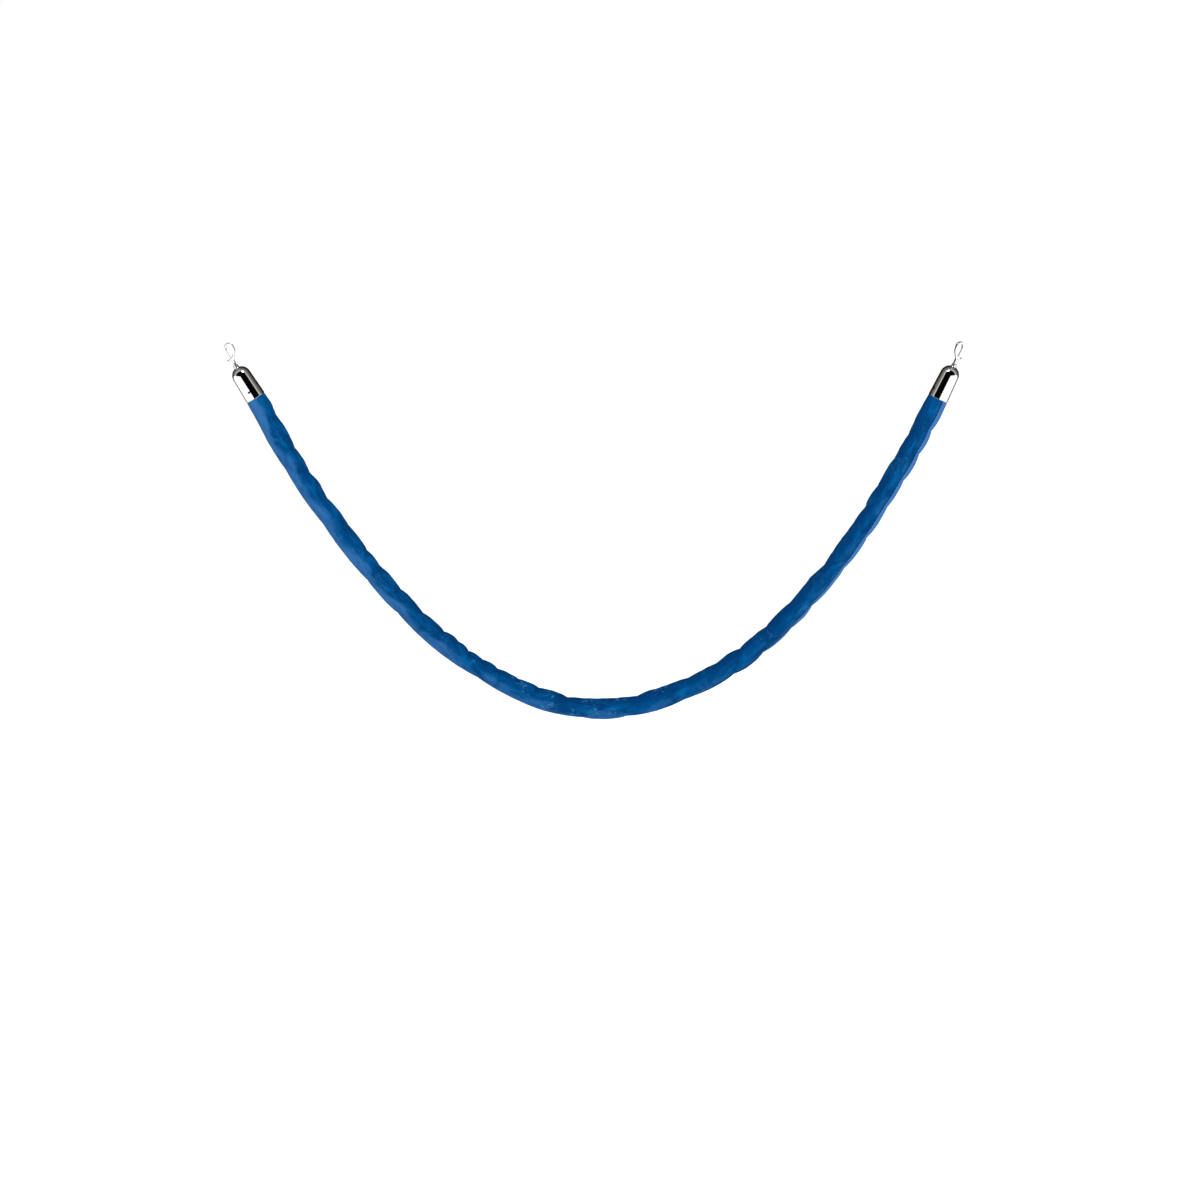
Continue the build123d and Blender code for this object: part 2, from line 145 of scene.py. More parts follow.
@dataclass(frozen=True)
class MetalFinish:
    """Metal, plated or bare, whose polish and handling marks are worked out in millimetres."""

    name: str
    light: str                 # hex colour of the clean metal
    dark: str                  # hex colour where it is dulled
    roughness: float           # of the clean metal
    dulling: float             # added roughness where hands have been
    mark_mm: float             # size of the dulled patches
    grain_mm: float            # spacing of the fine polish or plating grain
    grain_depth_mm: float
    metallic: float = 1.0

    def material(self) -> bpy.types.Material:
        """Make the metal: patches of dulling in colour and gloss, over a fine grain."""
        material, tree = blank_material(self.name)
        place = add_node(tree, "ShaderNodeTexCoord", {}, {}).outputs["Object"]
        patches = add_node(tree, "ShaderNodeTexNoise", {}, {
            "Vector": place, "Scale": 1 / (self.mark_mm * MM), "Detail": 3.0, "Roughness": 0.55})
        shades = add_node(tree, "ShaderNodeMix", IN_COLOUR, {
            "Factor": patches.outputs["Fac"], "A": colour(self.light), "B": colour(self.dark)})
        gloss = add_node(tree, "ShaderNodeMapRange", {}, {
            "Value": patches.outputs["Fac"], "From Min": 0.45, "From Max": 0.75,
            "To Min": self.roughness, "To Max": self.roughness + self.dulling})
        grain = add_node(tree, "ShaderNodeTexNoise", {}, {
            "Vector": place, "Scale": 1 / (self.grain_mm * MM), "Detail": 2.0})
        bump = add_node(tree, "ShaderNodeBump", {}, {
            "Height": grain.outputs["Fac"], "Strength": 0.6, "Distance": self.grain_depth_mm * MM})
        finish_material(tree, {
            "Base Color": shades.outputs["Result"], "Metallic": self.metallic,
            "Roughness": gloss.outputs["Result"], "Normal": bump.outputs["Normal"]})
        return material


# Chrome plate over buffed brass: mirror bright, a little blue, with faint handling marks.
POLISHED_CHROME = MetalFinish(
    "polished_chrome_plate", light="#eeeff1", dark="#dcdee1", roughness=0.03, dulling=0.04,
    mark_mm=14.0, grain_mm=3.0, grain_depth_mm=0.0006)
# Chrome plate over a zinc casting: bright, but softened by the casting's skin under it.
CAST_CHROME = MetalFinish(
    "chromed_zinc_casting", light="#e8eaec", dark="#cdd0d3", roughness=0.05, dulling=0.07,
    mark_mm=5.0, grain_mm=1.2, grain_depth_mm=0.003)
# Passivated zinc plate on turned steel: a grey, satin sheen.
ZINC_PLATE = MetalFinish(
    "zinc_plated_steel", light="#b9bcc0", dark="#9a9da1", roughness=0.32, dulling=0.14,
    mark_mm=3.0, grain_mm=0.5, grain_depth_mm=0.01)
# Black oxide on a screw: nearly black, with a low sheen.
BLACK_OXIDE = MetalFinish(
    "black_oxide_steel", light="#0d0d0e", dark="#050505", roughness=0.45, dulling=0.18,
    mark_mm=1.5, grain_mm=0.4, grain_depth_mm=0.01, metallic=0.4)
# Drawn music wire: grey and fairly bright, with a fine grain.
DRAWN_WIRE = MetalFinish(
    "drawn_spring_wire", light="#8c8e92", dark="#6b6d71", roughness=0.24, dulling=0.10,
    mark_mm=0.8, grain_mm=0.12, grain_depth_mm=0.004)


@dataclass(frozen=True)
class VelvetFinish:
    """Cut-pile velvet: deep where the pile leans away from the eye, pale where it leans to it,
    with painted light underneath and painted shade on top and in the creases.

    The pattern reads the cover's own map, whose first number goes once round the rope from the
    sewn seam and whose second is metres along the rope.
    """

    name: str = "royal_blue_velvet"
    deep: str = "#00437c"
    middle: str = "#005d9e"
    # also the painted shade on top of the rope and in its creases
    shaded: str = "#003a70"
    # pale pile leaning to the eye, and the painted light underneath
    lean_and_painted_light: str = "#3672b2"
    beyond_seam: str = "#4a86cc"
    crushed: str = "#3c7bb6"
    stitch_shadow: str = "#00265a"
    sheen: str = "#2478d8"
    girth_mm: float = 120.0
    pile_mm: float = 0.9        # tufts are 0.3 mm apart, drawn coarser so that they show
    nap_mm: float = 13.0        # width of a patch of nap, which is longer along the rope
    nap_stretch: float = 2.6
    drift_mm: float = 70.0      # size of the larger, darker patches
    fleck_mm: float = 6.5
    fleck_patch_mm: float = 45.0
    lowest_at: float = 0.92     # metres along the rope to where it hangs lowest
    stitch_mm: float = 7.0
    seam_core_mm: float = 0.6   # from the seam, the shadow is full as far as this
    seam_fade_mm: float = 1.9   # and gone from here on

    def ground(self, tree: bpy.types.NodeTree, place: Socket, nap: Socket) -> Socket:
        """Colour of the upright pile: two blues by the nap, and a darker one in large patches.

        Args:
            tree: the material's node tree.
            place: place in the object.
            nap: the nap, from nought to one.

        Returns:
            The colour.
        """
        nap_share = add_node(tree, "ShaderNodeMapRange", EASED, {
            "Value": nap, "From Min": 0.31, "From Max": 0.72})
        body = add_node(tree, "ShaderNodeMix", IN_COLOUR, {
            "Factor": nap_share.outputs["Result"], "A": colour(self.deep),
            "B": colour(self.middle)})
        drift = add_node(tree, "ShaderNodeTexNoise", {}, {
            "Vector": place, "Scale": 1 / (self.drift_mm * MM), "Detail": 2.0})
        drift_share = add_node(tree, "ShaderNodeMapRange", EASED, {
            "Value": drift.outputs["Fac"], "From Min": 0.45, "From Max": 0.7, "To Max": 0.55})
        return add_node(tree, "ShaderNodeMix", IN_COLOUR, {
            "Factor": drift_share.outputs["Result"], "A": body.outputs["Result"],
            "B": colour(self.shaded)}).outputs["Result"]

    def leaned_and_lit(self, tree: bpy.types.NodeTree, ground: Socket, nap: Socket) -> Socket:
        """Colour with the pile's lean and with painted light and shade: paler towards the eye and
        underneath, deeper away, on top and in the creases, uneven by the nap.

        Args:
            tree: the material's node tree.
            ground: colour of the upright pile.
            nap: the nap, from nought to one.

        Returns:
            The colour.
        """
        # This attribute holds the pile's lean with painted light underneath and painted shade on
        # top and in the creases.
        lean = add_node(tree, "ShaderNodeAttribute", {"attribute_name": "lean_and_painted_light"}, {})
        uneven = add_node(tree, "ShaderNodeMapRange", {}, {
            "Value": nap, "From Min": 0.3, "From Max": 0.7, "To Min": -0.21, "To Max": 0.21})
        leaning = add_node(tree, "ShaderNodeMath", {"operation": "ADD"}, {
            0: lean.outputs["Fac"], 1: uneven.outputs["Result"]})
        away_and_shaded_share = add_node(tree, "ShaderNodeMapRange", {}, {
            "Value": leaning.outputs["Value"], "From Min": 0.0, "From Max": -0.5, "To Max": 0.9})
        away = add_node(tree, "ShaderNodeMix", IN_COLOUR, {
            "Factor": away_and_shaded_share.outputs["Result"], "A": ground, "B": colour(self.shaded)})
        to_eye_and_lit_share = add_node(tree, "ShaderNodeMapRange", EASED, {
            "Value": leaning.outputs["Value"], "From Min": 0.02, "From Max": 0.85})
        to_eye_and_lit = add_node(tree, "ShaderNodeMix", IN_COLOUR, {
            "Factor": to_eye_and_lit_share.outputs["Result"], "A": away.outputs["Result"],
            "B": colour(self.lean_and_painted_light)})
        band_share = add_node(tree, "ShaderNodeMapRange", EASED, {
            "Value": lean.outputs["Fac"], "From Min": 0.60, "From Max": 0.90})
        return add_node(tree, "ShaderNodeMix", IN_COLOUR, {
            "Factor": band_share.outputs["Result"], "A": to_eye_and_lit.outputs["Result"],
            "B": colour(self.beyond_seam)}).outputs["Result"]

    def flecked(self, tree: bpy.types.NodeTree, cloth: Socket, place: Socket,
                along: Socket) -> Socket:
        """Colour with flecks of crushed pile, in patches, most of them where it hangs lowest.

        Args:
            tree: the material's node tree.
            cloth: colour so far.
            place: place in the object.
            along: metres along the rope.

        Returns:
            The colour.
        """
        fleck = add_node(tree, "ShaderNodeTexNoise", {}, {
            "Vector": place, "Scale": 1 / (self.fleck_mm * MM), "Detail": 1.0, "Distortion": 1.0})
        sparse = add_node(tree, "ShaderNodeTexNoise", {}, {
            "Vector": place, "Scale": 1 / (self.fleck_patch_mm * MM), "Detail": 1.0})
        both = add_node(tree, "ShaderNodeMath", {"operation": "MULTIPLY"}, {
            0: fleck.outputs["Fac"], 1: sparse.outputs["Fac"]})
        past_lowest = add_node(tree, "ShaderNodeMath", {"operation": "SUBTRACT"}, {
            0: along, 1: self.lowest_at})
        from_lowest = add_node(tree, "ShaderNodeMath", {"operation": "ABSOLUTE"}, {
            0: past_lowest.outputs["Value"]})
        strength = add_node(tree, "ShaderNodeMapRange", EASED, {
            "Value": from_lowest.outputs["Value"], "From Min": 0.1, "From Max": 0.4,
            "To Min": 0.85, "To Max": 0.15})
        share = add_node(tree, "ShaderNodeMapRange", EASED, {
            "Value": both.outputs["Value"], "From Min": 0.35, "From Max": 0.43,
            "To Max": strength.outputs["Result"]})
        return add_node(tree, "ShaderNodeMix", IN_COLOUR, {
            "Factor": share.outputs["Result"], "A": cloth,
            "B": colour(self.crushed)}).outputs["Result"]

    def sewn(self, tree: bpy.types.NodeTree, cloth: Socket, around: Socket,
             along: Socket) -> Socket:
        """Colour with the seam's shadow, which is deeper at each stitch.

        Its strength falls with the distance from the seam, whichever way round is shorter, and
        follows a sine of the distance along the rope.

        Args:
            tree: the material's node tree.
            cloth: colour so far.
            around: share of the girth round from the seam.
            along: metres along the rope.

        Returns:
            The colour.
        """
        from_seam = add_node(tree, "ShaderNodeMath", {"operation": "PINGPONG"}, {
            0: around, 1: 0.5})
        turn = add_node(tree, "ShaderNodeMath", {"operation": "MULTIPLY"}, {
            0: along, 1: 2 * math.pi / (self.stitch_mm * MM)})
        stitching = add_node(tree, "ShaderNodeMath", {"operation": "SINE"}, {
            0: turn.outputs["Value"]})
        tight = add_node(tree, "ShaderNodeMapRange", {}, {
            "Value": stitching.outputs["Value"], "From Min": -1.0, "From Max": 1.0,
            "To Min": 0.65, "To Max": 1.0})
        seam = add_node(tree, "ShaderNodeMapRange", EASED, {
            "Value": from_seam.outputs["Value"], "From Min": self.seam_core_mm / self.girth_mm,
            "From Max": self.seam_fade_mm / self.girth_mm, "To Min": 1.0, "To Max": 0.0})
        share = add_node(tree, "ShaderNodeMath", {"operation": "MULTIPLY"}, {
            0: seam.outputs["Result"], 1: tight.outputs["Result"]})
        return add_node(tree, "ShaderNodeMix", IN_COLOUR, {
            "Factor": share.outputs["Value"], "A": cloth,
            "B": colour(self.stitch_shadow)}).outputs["Result"]

    def material(self) -> bpy.types.Material:
        """Make the velvet from its layers: ground, lean with painted light and shade, flecks, seam
        and relief.
        """
        material, tree = blank_material(self.name)
        place = add_node(tree, "ShaderNodeTexCoord", {}, {}).outputs["Object"]
        wrap = add_node(tree, "ShaderNodeUVMap", {"uv_map": "wrap"}, {}).outputs["UV"]
        parts = add_node(tree, "ShaderNodeSeparateXYZ", {}, {"Vector": wrap})

        # Patches where the pile has been stroked one way or the other, longer along the rope.
        laid = add_node(tree, "ShaderNodeMapping", {}, {
            "Vector": wrap, "Scale": (self.girth_mm / self.nap_mm,
                                      1 / (self.nap_mm * self.nap_stretch * MM), 1.0)})
        nap = add_node(tree, "ShaderNodeTexNoise", {}, {
            "Vector": laid.outputs["Vector"], "Scale": 1.0, "Detail": 5.0, "Roughness": 0.58,
            "Distortion": 0.7}).outputs["Fac"]
        cloth = self.leaned_and_lit(tree, self.ground(tree, place, nap), nap)
        cloth = self.flecked(tree, cloth, place, parts.outputs["Y"])
        cloth = self.sewn(tree, cloth, parts.outputs["X"], parts.outputs["Y"])

        pile = add_node(tree, "ShaderNodeTexNoise", {}, {
            "Vector": place, "Scale": 1 / (self.pile_mm * MM), "Detail": 4.0, "Roughness": 0.7})
        tufts = add_node(tree, "ShaderNodeBump", {}, {
            "Height": pile.outputs["Fac"], "Strength": 0.5, "Distance": 0.4 * MM})
        lay = add_node(tree, "ShaderNodeBump", {}, {
            "Height": nap, "Strength": 0.45, "Distance": 1.4 * MM,
            "Normal": tufts.outputs["Normal"]})
        finish_material(tree, {
            "Base Color": cloth, "Roughness": 0.9, "Specular IOR Level": 0.05,
            "Sheen Weight": 0.22, "Sheen Roughness": 0.4, "Sheen Tint": colour(self.sheen),
            "Normal": lay.outputs["Normal"]})
        return material


@dataclass(frozen=True)
class FibreFinish:
    """A soft or fibrous inner material, dull, with cells or fibres of a stated size."""

    name: str
    light: str
    dark: str
    cell_mm: float
    stretch: float              # how much longer than wide the cells or fibres are
    depth_mm: float
    sheen: float

    def material(self) -> bpy.types.Material:
        """Make the material: cells stretched along the rope's length, in colour and relief."""
        material, tree = blank_material(self.name)
        place = add_node(tree, "ShaderNodeTexCoord", {}, {}).outputs["Object"]
        laid = add_node(tree, "ShaderNodeMapping", {}, {
            "Vector": place, "Scale": (1.0, 1.0, 1.0 / self.stretch)})
        cells = add_node(tree, "ShaderNodeTexVoronoi", {}, {
            "Vector": laid.outputs["Vector"], "Scale": 1 / (self.cell_mm * MM)})
        shades = add_node(tree, "ShaderNodeMix", IN_COLOUR, {
            "Factor": cells.outputs["Distance"], "A": colour(self.light),
            "B": colour(self.dark)})
        bump = add_node(tree, "ShaderNodeBump", {}, {
            "Height": cells.outputs["Distance"], "Strength": 0.7,
            "Distance": self.depth_mm * MM})
        finish_material(tree, {
            "Base Color": shades.outputs["Result"], "Roughness": 0.9,
            "Specular IOR Level": 0.2, "Sheen Weight": self.sheen,
            "Normal": bump.outputs["Normal"]})
        return material


# Open-cell polyether foam: cream, matt and full of small holes.
CREAM_FOAM = FibreFinish("open_cell_foam", "#efe8d4", "#c9bd9c", 1.2, 1.0, 0.4, 0.2)
# Undyed cotton, laid up in strands: off-white, with fine fibres along each strand.
COTTON = FibreFinish("undyed_cotton_cord", "#e6dcc4", "#b7a988", 0.7, 5.0, 0.15, 0.4)


@dataclass(frozen=True)
class BeechFinish:
    """Turned beech, unfinished: pale pinkish brown, with growth rings and short dark flecks."""

    name: str = "turned_beech"
    early: str = "#c99d6c"
    late: str = "#9d6f45"
    ring_mm: float = 2.2
    fleck_mm: float = 0.6

    def material(self) -> bpy.types.Material:
        """Make the wood: growth rings in colour, and flecks in colour and relief."""
        material, tree = blank_material(self.name)
        place = add_node(tree, "ShaderNodeTexCoord", {}, {}).outputs["Object"]
        rings = add_node(tree, "ShaderNodeTexWave", {"wave_type": "BANDS"}, {
            "Vector": place, "Scale": 1 / (self.ring_mm * MM * WAVE_FACTOR), "Distortion": 6.0,
            "Detail": 3.0, "Detail Scale": 1.4})
        grain = add_node(tree, "ShaderNodeMix", IN_COLOUR, {
            "Factor": rings.outputs["Fac"], "A": colour(self.early), "B": colour(self.late)})
        flecks = add_node(tree, "ShaderNodeTexNoise", {}, {
            "Vector": place, "Scale": 1 / (self.fleck_mm * MM), "Detail": 2.0})
        bump = add_node(tree, "ShaderNodeBump", {}, {
            "Height": flecks.outputs["Fac"], "Strength": 0.4, "Distance": 0.05 * MM})
        finish_material(tree, {
            "Base Color": grain.outputs["Result"], "Roughness": 0.62,
            "Normal": bump.outputs["Normal"]})
        return material


# ---- meshes ----

def loft(name: str, rows: Array, along: Array, closed_lengthways: bool,
         shares: Array | None = None) -> bpy.types.Object:
    """Skin a grid of points whose columns go once round, as one closed mesh.

    Face (i, j) joins points (i, j), (i, j + 1), (i + 1, j + 1) and (i + 1, j), where columns
    wrap. Rows wrap too when the skin is closed lengthways. Otherwise each end is closed by a
    fan to the middle of its row. The map's first number is the column's share of a turn, and its
    second is the row's distance along.

    Args:
        name: name of the new object.
        rows: points, as rows by columns by three, that turn left about the way they advance.
        along: distance along for each row.
        closed_lengthways: whether the last row joins the first one.
        shares: share of a turn at each column, or none where they are evenly spaced.

    Returns:
        The new object, at the origin.
    """
    count, columns = rows.shape[:2]
    if shares is None:
        shares = np.arange(columns) / columns
    shares = np.append(shares, 1.0)
    steps = count if closed_lengthways else count - 1
    row = np.arange(steps)[:, None]
    column = np.arange(columns)[None, :]
    after_row, after_column = (row + 1) % count, (column + 1) % columns
    quads = np.stack(np.broadcast_arrays(
        row * columns + column, row * columns + after_column,
        after_row * columns + after_column, after_row * columns + column), axis=-1)
    points = rows.reshape(-1, 3)
    turns = shares[np.stack([column, column + 1, column + 1, column], axis=-1)]
    turns = np.broadcast_to(turns, quads.shape)
    reach = np.stack(np.broadcast_arrays(
        along[row], along[row], along[after_row], along[after_row]), axis=-1)
    reach = np.broadcast_to(reach, quads.shape)
    corners = [quads.reshape(-1)]
    sizes = [np.full(quads.shape[0] * columns, 4)]
    maps = [np.stack([turns.reshape(-1), reach.reshape(-1)], axis=-1)]
    if not closed_lengthways:
        poles = np.stack([rows[0].mean(0), rows[-1].mean(0)])
        rim = np.arange(columns)
        after = (rim + 1) % columns
        last = (count - 1) * columns
        for pole, (first, second) in enumerate(((after, rim), (rim + last, after + last))):
            middle = np.full(columns, len(points) + pole)
            corners.append(np.stack([first, second, middle], axis=-1).reshape(-1))
            sizes.append(np.full(columns, 3))
            share = shares[np.stack([rim, rim + 1, rim], axis=-1)].reshape(-1)
            end = np.full(3 * columns, along[-pole])
            maps.append(np.stack([share, end], axis=-1))
        points = np.concatenate([points, poles])
    loops, totals, places = np.concatenate(corners), np.concatenate(sizes), np.concatenate(maps)
    mesh = bpy.data.meshes.new(name)
    mesh.vertices.add(len(points))
    mesh.vertices.foreach_set("co", points.astype(np.float32).reshape(-1))
    mesh.loops.add(len(loops))
    mesh.loops.foreach_set("vertex_index", loops.astype(np.int32))
    mesh.polygons.add(len(totals))
    starts = np.concatenate([[0], np.cumsum(totals)[:-1]])
    mesh.polygons.foreach_set("loop_start", starts.astype(np.int32))
    mesh.polygons.foreach_set("use_smooth", np.ones(len(totals), bool))
    layer = mesh.uv_layers.new(name="wrap")
    layer.data.foreach_set("uv", places.astype(np.float32).reshape(-1))
    mesh.update(calc_edges=True)
    mesh.validate()
    piece = bpy.data.objects.new(name, mesh)
    bpy.context.scene.collection.objects.link(piece)
    return piece


def unit(vectors: Array) -> Array:
    """Scale vectors, along the last axis, to a length of one."""
    return vectors / np.linalg.norm(vectors, axis=-1, keepdims=True)


def smooth_step(value: Array, low: float, high: float) -> Array:
    """Rise from nought at low to one at high as three squares less two cubes of the share."""
    share = np.clip((value - low) / (high - low), 0, 1)
    return share * share * (3 - 2 * share)


# ---- the two ends' frames ----

@dataclass
class EndFrame:
    """Where one end's cap and hook stand, from the frame's joints."""

    side: Side
    cap_len: float = 65.0 * MM

    def __post_init__(self) -> None:
        """Read the swivel's place and axis and the gate's axis."""
        joints = {joint["name"]: joint for joint in frame["joints"]}
        swivel = joints[f"{self.side.value}_hook_swivel"]
        gate = joints[f"{self.side.value}_gate_hinge"]
        self.top = np.array(swivel["pos_m"], float)
        self.up = unit(np.array(swivel["axis"], float))
        self.across = unit(np.array(gate["axis"], float))
        self.inner = np.cross(self.across, self.up)
        self.mouth = self.top - self.up * self.cap_len

    def place(self, inner: Array | float, up: Array | float) -> Array:
        """Point in the eye's plane, from the distances across and up from the cap's top."""
        return self.top + np.multiply.outer(inner, self.inner) + np.multiply.outer(up, self.up)


# ---- the rope ----

# The rope's route in its own plane, in metres from the left cap's mouth.
ROUTE = (
    (0, 0), (0.0198, -0.0345), (0.0505, -0.0970), (0.1045, -0.1850), (0.177, -0.287),
    (0.240, -0.363), (0.294, -0.423), (0.370, -0.487), (0.435, -0.5295), (0.5155, -0.5685),
    (0.588, -0.5865), (0.662, -0.5875), (0.734, -0.5715), (0.794, -0.548), (0.881, -0.5025),
    (0.961, -0.433), (1.014, -0.377), (1.096, -0.272), (1.1480, -0.1875), (1.2043, -0.0910),
    (1.247, -0.001),
)

# Creases of the cover, as metres from the left cap's mouth and depth in millimetres. Most are a
# scratch program's readings, rounded. A rule with a few values and a seed should replace them.
INNER_CREASES = (
    (0.0, 0.0), (0.045, 2.2), (0.114, 2.3), (0.166, 2.3), (0.224, 2.4), (0.290, 1.8),
    (0.350, 2.0), (0.385, 1.5), (0.444, 2.2), (0.504, 2.6), (0.560, 3.2), (0.595, 1.4),
    (0.622, 3.0), (0.655, 1.4), (0.688, 2.6), (0.732, 2.2), (0.774, 2.4), (0.830, 3.2),
    (0.975, 2.9), (1.080, 1.7), (1.140, 1.8), (1.190, 2.5), (1.260, 2.8), (1.325, 1.9),
    (1.420, 2.8), (1.555, 2.3), (1.600, 1.4), (1.660, 1.7), (1.710, 1.9), (1.795, 0.0),
)
OUTER_CREASES = (
    (0.0, 0.0), (0.140, 1.4), (0.260, 1.5), (0.390, 1.5), (0.475, 2.3), (0.660, 3.0),
    (0.870, 1.6), (0.945, 2.4), (1.055, 1.9), (1.160, 2.9), (1.225, 2.7), (1.290, 1.6),
    (1.345, 2.8), (1.440, 1.9), (1.510, 2.4), (1.575, 1.4), (1.630, 2.0), (1.685, 2.4),
    (1.735, 2.3), (1.795, 0.0),
)


@dataclass
class VelvetRope:
    """The velvet cover, the foam that fills it and the cord through its middle."""

    left: EndFrame
    right: EndFrame
    velvet_len: float = 1.792
    diameter: float = 38.0 * MM
    plump: float = 1.1 * MM        # pile and stuffing beyond the nominal radius
    tuck: float = 25.0 * MM        # cover inside each cap
    tuck_r: float = 17.4 * MM      # its outside at the mouth
    tuck_taper: float = 0.034      # loss of that radius per metre up the cap
    wall: float = 2.0 * MM
    lining_r: float = 14.8 * MM    # inside of the cover, clear of the deepest crease
    foam_gap: float = 0.3 * MM
    core_r: float = 6.0 * MM
    core_lay: float = 55.0 * MM    # length in which the core's strands turn once
    core_groove: float = 0.17      # depth between its strands, as a share of its radius
    core_columns: int = 36
    rim_r: float = 18.7 * MM       # outside just clear of a cap's rim
    seam_half: float = 1.1 * MM    # half width of the seam's groove
    seam_depth: float = 1.6 * MM
    stitch: float = 7.0 * MM
    crease_scale: float = 1.55
    slant: float = 9.0 * MM        # how far a crease slides along as it comes round to the front
    rings: int = 900
    lining_rings: int = 90
    columns: int = 96
    pieces: dict[str, bpy.types.Object] = field(default_factory=dict)

    def __post_init__(self) -> None:
        """Lay the centre line out along the route's spline."""
        spline = self.spline_points()
        first = spline[0] + self.left.up * self.tuck
        last = spline[-1] + self.right.up * self.tuck
        self.line = np.concatenate([[first], spline, [last]])
        gaps = np.linalg.norm(np.diff(self.line, axis=0), axis=1)
        self.reach = np.concatenate([[0], np.cumsum(gaps)]) - self.tuck
        self.mouth_to_mouth = self.reach[-1] - self.tuck
        self.waves = np.random.default_rng(7).uniform(0, 2 * math.pi, (3, 14))

    def spline_points(self) -> Array:
        """Read the points of a smooth spline that has the route's points as its controls."""
        curve = bpy.data.curves.new("rope_route", "CURVE")
        curve.dimensions = "3D"
        curve.resolution_u = 32
        spline = curve.splines.new("NURBS")
        spline.points.add(len(ROUTE) - 1)
        start = self.left.mouth
        for point, (x, z) in zip(spline.points, ROUTE):
            point.co = (start[0] + x, start[1], start[2] + z, 1.0)
        spline.order_u = 3
        spline.use_endpoint_u = True
        bare = bpy.data.objects.new("rope_route", curve)
        mesh = bpy.data.meshes.new_from_object(bare)
        points = np.zeros(len(mesh.vertices) * 3)
        mesh.vertices.foreach_get("co", points)
        bpy.data.meshes.remove(mesh)
        bpy.data.objects.remove(bare)
        bpy.data.curves.remove(curve)
        return points.reshape(-1, 3)

    def stations(self, count: int) -> tuple[Array, Array, Array, Array]:
        """Space points evenly along the centre line, each with its two sideways directions.

        Args:
            count: how many points.

        Returns:
            Distance from the left mouth, the points, the directions to the rope's inner side and
            the directions to its front.
        """
        along = np.linspace(self.reach[0], self.reach[-1], count)
        middle = np.stack([np.interp(along, self.reach, self.line[:, k]) for k in range(3)], -1)
        ahead = unit(np.gradient(middle, axis=0))
        front = np.broadcast_to([0.0, -1.0, 0.0], ahead.shape)
        inner = unit(np.cross(front, ahead))
        return along, middle, inner, front

    def seam_angle(self, along: Array) -> Array:
        """Angle of the sewn seam from the inner side towards the front.

        By the right cap it is low on the front. Along the rope it drifts underneath, and it is
        behind by the left cap. The turns between are smoothed with a raised cosine, whose half
        width is two forty-fifths of the rope.

        Args:
            along: distance from the left mouth, evenly spaced.

        Returns:
            The angle at each point.
        """
        at = np.array([-0.03, 0.35, 0.80, 1.05, 1.18, 1.30, 1.42, 1.52, 1.65, 1.83])
        angle = np.array([4.35, 4.25, 3.75, 2.90, 2.42, 2.26, 2.18, 2.06, 2.08, 1.98])
        drift = np.interp(along, at, angle)
        half = 2 * len(along) // 45
        blur = np.hanning(2 * half + 1)
        return np.convolve(np.pad(drift, half, mode="edge"), blur / blur.sum(), mode="valid")

    def lean_and_painted_light(self, along: Array, angle: Array, from_seam: Array) -> Array:
        """How far the pile leans towards the eye, or away from it where this is below nought, with
        painted light and shade added.

        It leans towards the eye underneath, with painted light from below, more so on the left
        half, and in a band just beyond the seam on the right half. It is darker on top and in the
        creases, as painted shade.

        Args:
            along: distance from the left mouth, as a column.
            angle: angle from the inner side towards the front, at each point.
            from_seam: angle from the seam, at each point.

        Returns:
            Lean with painted light and shade at each point, at most one.
        """
        # Painted light from below: paler underneath, most on the left half, and as the gleam on
        # the right half.
        under = smooth_step(-np.cos(angle + 0.3 * np.sin(along * 57)), -0.62, 0.62)
        left = 0.66 * under * (1 - 0.62 * smooth_step(along, 0.35, 1.1))
        band = (from_seam > 0) * (1 - smooth_step(from_seam, 0.9, 2.2))
        right = band * smooth_step(along, 0.95, 1.45)
        gleam = 0.42 * smooth_step(-np.cos(angle), 0.05, 0.65) * smooth_step(along, 0.9, 1.4)
        # Painted shade: darker on top, and darker in the creases by their depth.
        over = smooth_step(np.cos(angle), -0.1, 0.8) * (0.3 + 0.9 * smooth_step(along, 0.3, 1.2))
        shade = 0.09 / MM * self.creases(along, angle)
        return np.maximum(np.maximum(left, gleam), right) - 0.4 * over - shade

    def creases(self, along: Array, angle: Array) -> Array:
        """Depth of the creases and of the puffs between them.

        Between two creases of a side, t runs from nought to one. The depth there is the creases'
        own, times one less the 0.8 power of four times t times one less t, so each crease is a
        sharp notch between two rounded puffs. It fades round the rope as the fourth power of the
        cosine of half the angle from its middle, and slants where it crosses the front.

        Args:
            along: distance from the left mouth, as a column.
            angle: angle from the inner side towards the front, at each point.

        Returns:
            Depth at each point.
        """
        depth = np.zeros(np.broadcast(along, angle).shape)
        for table, middle in ((INNER_CREASES, 0.0), (OUTER_CREASES, math.pi)):
            at, deep = np.array(table).T
            away = np.angle(np.exp(1j * (angle - middle)))
            slid = along - self.slant * np.sin(away) * np.sin(along * 19 + middle + 1.3)
            share = np.interp(slid, at, np.arange(len(at)))
            part = share - np.floor(share)
            puff = (4 * part * (1 - part)) ** 0.8
            full = np.interp(slid, at, deep) * self.crease_scale * MM
            depth += full * (1 - puff) * np.cos(away / 2) ** 4
        return depth

    def ripples(self, along: Array, angle: Array) -> Array:
        """Soft lumps of the stuffing, as a sum of waves along the rope that turn with it."""
        total = np.zeros(np.broadcast(along, angle).shape)
        for number in range(self.waves.shape[1]):
            length = 0.020 * 1.22 ** number
            height = 0.10 * MM * 1.11 ** number
            turns = number % 3
            total += height * np.sin(along * 2 * math.pi / length + self.waves[0, number]
                                     + turns * angle + self.waves[1, number])
        return total * (0.65 + 0.35 * np.cos(angle))

